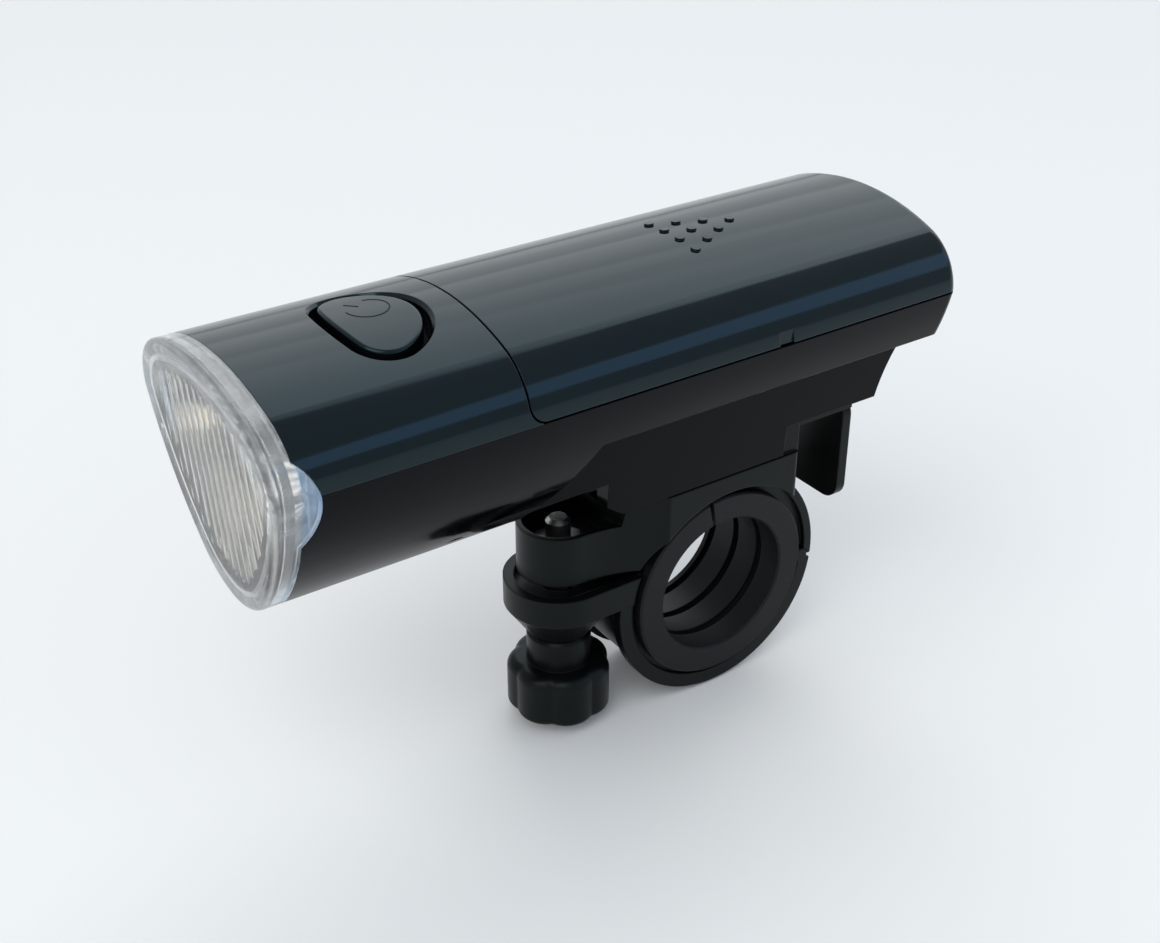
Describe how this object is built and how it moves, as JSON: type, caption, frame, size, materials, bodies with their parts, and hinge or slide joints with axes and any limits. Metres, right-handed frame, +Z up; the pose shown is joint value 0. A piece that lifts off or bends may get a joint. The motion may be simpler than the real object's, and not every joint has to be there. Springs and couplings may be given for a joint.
{
  "type": "bike headlight",
  "caption": "Long rounded bike headlight with fluted lens, top button and sliding battery cover, on a handlebar clamp with rubber shim, lobed knob and release tab",
  "frame": {"origin": "centre of the handlebar bore of the clamp", "axes": "+X along the beam to the front, +Y along the handlebar to the rider's left, +Z up"},
  "size_m": [0.115, 0.0416, 0.0788],
  "materials": {
    "bracket_plastic": "fine grain",
    "rubber": "matte",
    "plated_steel": "zinc plated",
    "gloss_black": "polished",
    "button_black": "satin",
    "board_green": "solder mask",
    "chip_black": "matte",
    "aluminium": "milled",
    "led_board": "white solder mask",
    "led_yellow": "silicone",
    "reflector_chrome": "metallised",
    "clear_lens": "clear",
    "cell_jacket": "plain jacket",
    "carrier_black": "matte"
  },
  "bodies": {
    "clamp": {"bracket": "bracket_plastic", "rubber_shim": "rubber", "clamp_nut": "plated_steel"},
    "washer": {"thrust_washer": "plated_steel"},
    "knob": {"clamp_knob": "bracket_plastic", "clamp_screw": "plated_steel"},
    "jaw": {"clamp_jaw": "bracket_plastic"},
    "tab": {"release_tab": "bracket_plastic"},
    "lamp": {"lower_housing": "gloss_black", "front_housing": "gloss_black", "lens": "clear_lens", "lens_gasket": "rubber", "reflector": "reflector_chrome", "led_board": "led_board", "led_emitter": "led_yellow", "heat_sink": "aluminium", "circuit_board": "board_green", "driver_chip": "chip_black", "board_screws": "plated_steel", "tactile_switch": "chip_black", "button_seal": "rubber", "cover_seal": "rubber", "battery_cells": "cell_jacket", "front_contacts": "plated_steel", "rear_springs": "plated_steel", "front_carrier": "carrier_black", "rear_carrier": "carrier_black", "housing_screws": "plated_steel"},
    "button": {"power_button": "button_black", "switch_plunger": "chip_black"},
    "cover": {"battery_cover": "gloss_black"}
  },
  "joints": [
    {"name": "washer_travel", "type": "slide", "parent": "clamp", "child": "washer", "axis": [0, 0, 1], "range_m": [-0.0035, 0.00088]},
    {"name": "knob_turn", "type": "hinge", "parent": "washer", "child": "knob", "pos_m": [0.0258, 0, 0], "axis": [0, 0, 1], "range_deg": [-1800.9, 450.22]},
    {"name": "jaw_hinge", "type": "hinge", "parent": "clamp", "child": "jaw", "pos_m": [-0.01784, 0, -0.0015], "axis": [0, -1, 0], "range_deg": [-4.6, 1.15]},
    {"name": "tab_flex", "type": "hinge", "parent": "clamp", "child": "tab", "pos_m": [-0.0134, 0, 0.02525], "axis": [0, -1, 0], "range_deg": [0, 8], "stiffness_Nm_per_rad": 0.6},
    {"name": "lamp_slide", "type": "slide", "parent": "clamp", "child": "lamp", "axis": [1, 0, 0], "range_m": [0, 0.034]},
    {"name": "button_press", "type": "slide", "parent": "lamp", "child": "button", "axis": [0, 0, -1], "range_m": [0, 0.0008], "stiffness_N_per_m": 900, "springref_m": -0.0004},
    {"name": "cover_slide", "type": "slide", "parent": "lamp", "child": "cover", "axis": [-1, 0, 0], "range_m": [0, 0.078]}
  ],
  "couplings": [
    {"joint": "knob_turn", "follows": "washer_travel", "rad_per_m": 8976},
    {"joint": "jaw_hinge", "follows": "washer_travel", "rad_per_m": 22.916}
  ]
}
